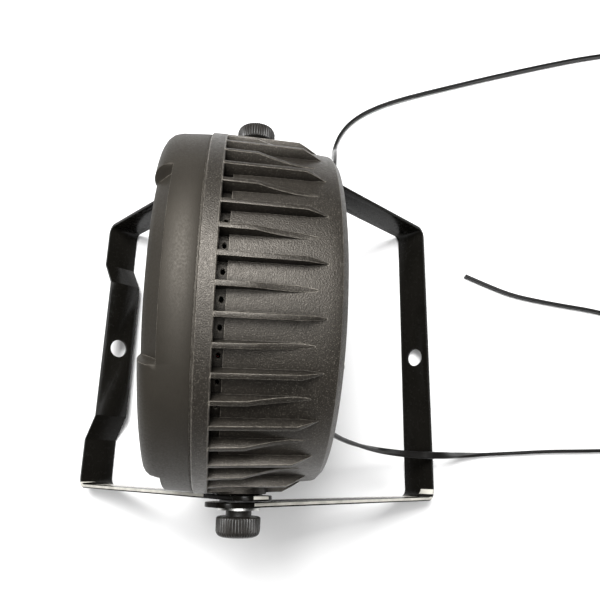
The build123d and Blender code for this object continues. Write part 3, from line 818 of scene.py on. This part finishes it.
def weep_cutters():
    """A small oval hole with a sunk mouth through each pocket's floor."""
    steps = 14
    hole_r, mouth_r = 1.0 * mm, 1.4 * mm
    oval = 1.4                # width round the drum over length
    station = fins_start + 2.6 * mm
    bottom = floor_r - pocket_deep
    section = [(hole_r, inner_r - 1 * mm), (hole_r, bottom - 0.3 * mm), (mouth_r, bottom + 0.1 * mm),
               (mouth_r, bottom + 0.6 * mm)]
    bm = bmesh.new()
    for i in range(fin_count):
        turn = Matrix.Rotation(radians((i + 0.5) * pitch_angle), 3, "Y")
        rings = []
        for r, z in section:
            ring = []
            for k in range(steps):
                a = 2 * pi * k / steps
                ring.append(bm.verts.new(turn @ Vector((oval * r * cos(a), station + r * sin(a), z))))
            rings.append(ring)
        skin(bm, rings, closed=False)
    return finished(bm, "weep_cutters")


def joined(name, *meshes):
    """One mesh of several closed shells."""
    bm = bmesh.new()
    for mesh in meshes:
        bm.from_mesh(mesh)
    result = bpy.data.meshes.new(name)
    bm.to_mesh(result)
    bm.free()
    return shaded(result, 27)


def build_housing():
    shell = cut(finished(drum(), "drum"), weep_cutters())
    ribs = rounded(fins(), 0.32 * mm)
    body = joined("housing", shell, ribs, bosses())
    body.transform(lamp_frame)
    new_piece("housing_moulding", body, "lamp", "housing_plastic", "housing_plastic", "rear_housing")


# ---- front bezel -------------------------------------------------------------------------------
# recessed arcs as (middle, half width) in degrees
scallops = [(0.0, 27.5), (90.0, 20.0), (180.0, 27.5), (270.0, 20.0)]
opening_r = 87.4 * mm         # round the lens plate
seat_r = 90.3 * mm            # the lens plate's seat
spigot_r = 90.8 * mm
groove_r = 98.0 * mm
groove_front, groove_back = -38.0 * mm, -31.0 * mm


def bezel_outline(sunk):
    """Closed section of the bezel, raised or in one of its recessed arcs."""
    raised = [(front + 1.5 * mm, opening_r), (front + 0.2 * mm, 90.9 * mm), (front, 92.4 * mm),
              (front + 0.15 * mm, 94.6 * mm), (front + 0.9 * mm, 97.6 * mm), (front + 2.5 * mm, 100.2 * mm),
              (front + 4.9 * mm, 102.1 * mm), (front + 8.2 * mm, 103.1 * mm), (-41.0 * mm, 103.25 * mm)]
    low = [(-49.1 * mm, opening_r), (-49.3 * mm, 89.2 * mm), (-49.4 * mm, 90.9 * mm),
           (-49.2 * mm, 91.6 * mm), (-46.9 * mm, 93.7 * mm), (-44.2 * mm, 96.2 * mm),
           (-41.5 * mm, 98.7 * mm), (-41.2 * mm, 99.0 * mm), (-41.2 * mm, 102.9 * mm)]
    rest = [(-40.7 * mm, 103.3 * mm), (-33.0 * mm, 103.7 * mm), (seam - 1.1 * mm, 104.0 * mm),
            (seam - 0.7 * mm, 103.7 * mm), (seam - 0.7 * mm, 103.2 * mm), (seam, 103.2 * mm),
            (seam, spigot_r), (groove_back, spigot_r), (groove_back, groove_r), (groove_front, groove_r),
            (groove_front, seat_r), (ledge, seat_r), (ledge, opening_r)]
    return (low if sunk else raised) + rest


def arc(start, end, steps, a, b):
    """Profiles from one angle up to, but not including, another, easing from outline a to outline b."""
    profiles = []
    for k in range(steps):
        t = k / steps
        share = eased(t)
        outline = [(ya + (yb - ya) * share, ra + (rb - ra) * share) for (ya, ra), (yb, rb) in zip(a, b)]
        profiles.append((radians(start + (end - start) * t), outline))
    return profiles


def build_bezel():
    """Ring with four recessed arcs, whose end walls are short rounded steps."""
    raised, low = bezel_outline(False), bezel_outline(True)
    wall_angle = 0.9
    profiles = []
    for (middle, half), (following, after) in zip(scallops, scallops[1:] + [(360.0, scallops[0][1])]):
        up, down = middle + half, following - after
        profiles += arc(middle - half, up, 36, low, low)
        profiles += arc(up, up + wall_angle, 4, low, raised)
        profiles += arc(up + wall_angle, down - wall_angle, 36, raised, raised)
        profiles += arc(down - wall_angle, down, 4, raised, low)
    mesh = finished(columns(profiles), "bezel", sharp=50, frame_matrix=lamp_frame)
    new_piece("bezel_moulding", mesh, "lamp", "bezel_plastic", "bezel_plastic", "front_bezel")


# ---- knobs --------------------------------------------------------------------------------------
def knob_mesh(side):
    """Knurled grip with a domed outer edge, a neck, and a hollow for its insert."""
    low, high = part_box("right_knob")
    start, end = low[0], high[0]
    body_start = start + 3.2 * mm
    hollow_end = body_start + 8.0 * mm
    insert_r, neck_r, vent_r = 5.6 * mm, 7.2 * mm, 0.6 * mm
    knurls = 45
    grooves = [0.0, 0.0, 0.0, 0.35 * mm, 0.6 * mm, 0.35 * mm]     # depths over one knurl
    # section as (station, radius, share of the grooves' depth)
    neck = [(start, insert_r, 0), (start, 7.0 * mm, 0), (start + 0.2 * mm, neck_r, 0),
            (body_start - 0.2 * mm, neck_r, 0), (body_start, 7.4 * mm, 0)]
    grip = [(body_start + 0.1 * mm, knob_r - 0.9 * mm, 0), (body_start + 0.5 * mm, knob_r - 0.25 * mm, 0.6),
            (body_start + 1.1 * mm, knob_r, 1), (end - 3.4 * mm, knob_r - 0.1 * mm, 1),
            (end - 2.2 * mm, knob_r - 0.45 * mm, 1), (end - 1.2 * mm, knob_r - 1.1 * mm, 0.9),
            (end - 0.5 * mm, knob_r - 2.1 * mm, 0.5), (end - 0.1 * mm, knob_r - 3.3 * mm, 0.1),
            (end, knob_r - 4.6 * mm, 0)]
    inside = [(end, 6.0 * mm, 0), (end - 0.4 * mm, 5.4 * mm, 0), (end - 0.5 * mm, vent_r, 0),
              (hollow_end, vent_r, 0), (hollow_end, insert_r, 0)]
    bm = bmesh.new()
    rings = []
    for i in range(knurls * len(grooves)):
        a = 2 * pi * i / (knurls * len(grooves))
        deep = grooves[i % len(grooves)]
        ring = []
        for x, r, share in neck + grip + inside:
            ring.append(bm.verts.new((side * x, (r - deep * share) * cos(a), (r - deep * share) * sin(a))))
        rings.append(ring)
    skin(bm, rings)
    return finished(bm, "knob", sharp=50, frame_matrix=lamp_frame)


def build_knobs():
    for word, side in (("left", -1), ("right", 1)):
        knob = word + "_knob"
        new_piece(knob + "_grip", knob_mesh(side), knob, "knob_plastic", "knob_plastic", knob)


# ---- pieces whose CAD shape stays, with their edges rolled ----------------------------------------
def build_rolled():
    """Bent and moulded pieces with rounded edges instead of razor-sharp ones."""
    for node, body, look, slot, width in (
            ("front_bracket", "front_bracket", "bracket_steel", "bracket_steel", 0.35 * mm),
            ("back_bracket", "back_bracket", "bracket_steel", "bracket_steel", 0.35 * mm),
            ("back_cover", "lamp", "cover_plastic", "housing_plastic", 0.3 * mm),
            ("control_panel", "lamp", "panel_plastic", "panel_plastic", 0.25 * mm),
            ("power_plug", "lamp", "plug_pvc", "plug_pvc", 0.5 * mm)):
        new_piece(node + "_rolled", rolled_copy(node, width), body, look, slot, node)


def paint_cad():
    """Procedural materials for the CAD nodes that stay in view."""
    slot_of = {s["node"]: s["material_slot"] for s in frame["record"]["subparts"]}
    for node, item in frame["nodes"].items():
        if item.hide_render:
            continue
        item.data.materials.clear()
        item.data.materials.append(looks[slot_of[node]])


build_housing()
build_bezel()
build_knobs()
build_rolled()
paint_cad()


# ---- studio ------------------------------------------------------------------------------------
def add_floor():
    reach, level = 4.0, -0.0002
    corners = [(-reach, -reach, level), (reach, -reach, level),
               (reach, reach, level), (-reach, reach, level)]
    mesh = bpy.data.meshes.new("floor")
    mesh.from_pydata(corners, [], [(0, 1, 2, 3)])
    mesh.materials.append(studio_floor())
    placed("floor", mesh)


def add_light(name, place, size, power):
    """Square area light that faces the lamp."""
    lamp_middle = Vector((0.0, 0.0, 0.12))
    data = bpy.data.lights.new(name, "AREA")
    data.size = size
    data.energy = power
    light = placed(name, data)
    light.location = place
    light.rotation_mode = "QUATERNION"
    light.rotation_quaternion = (Vector(place) - lamp_middle).to_track_quat("Z", "Y")


def add_world():
    """Room light from all round, strongest from the -x side."""
    bright, bright_from = 0.75, -0.8
    dim, dim_from = 0.06, 0.6
    world = bpy.data.worlds.new("studio")
    world.use_nodes = True
    tree = world.node_tree
    coordinates = tree.nodes.new("ShaderNodeTexCoord")
    split = tree.nodes.new("ShaderNodeSeparateXYZ")
    fall = tree.nodes.new("ShaderNodeMapRange")
    tree.links.new(coordinates.outputs["Generated"], split.inputs["Vector"])
    tree.links.new(split.outputs["X"], fall.inputs["Value"])
    fall.inputs["From Min"].default_value = bright_from
    fall.inputs["From Max"].default_value = dim_from
    fall.inputs["To Min"].default_value = bright
    fall.inputs["To Max"].default_value = dim
    tree.links.new(fall.outputs["Result"], tree.nodes["Background"].inputs["Strength"])
    bpy.context.scene.world = world


add_floor()
add_world()
add_light("key", (-0.42, -0.12, 1.35), size=0.55, power=29)
add_light("top", (0.3, 0.1, 2.2), size=1.6, power=38)
bpy.context.scene.view_settings.view_transform = "Standard"
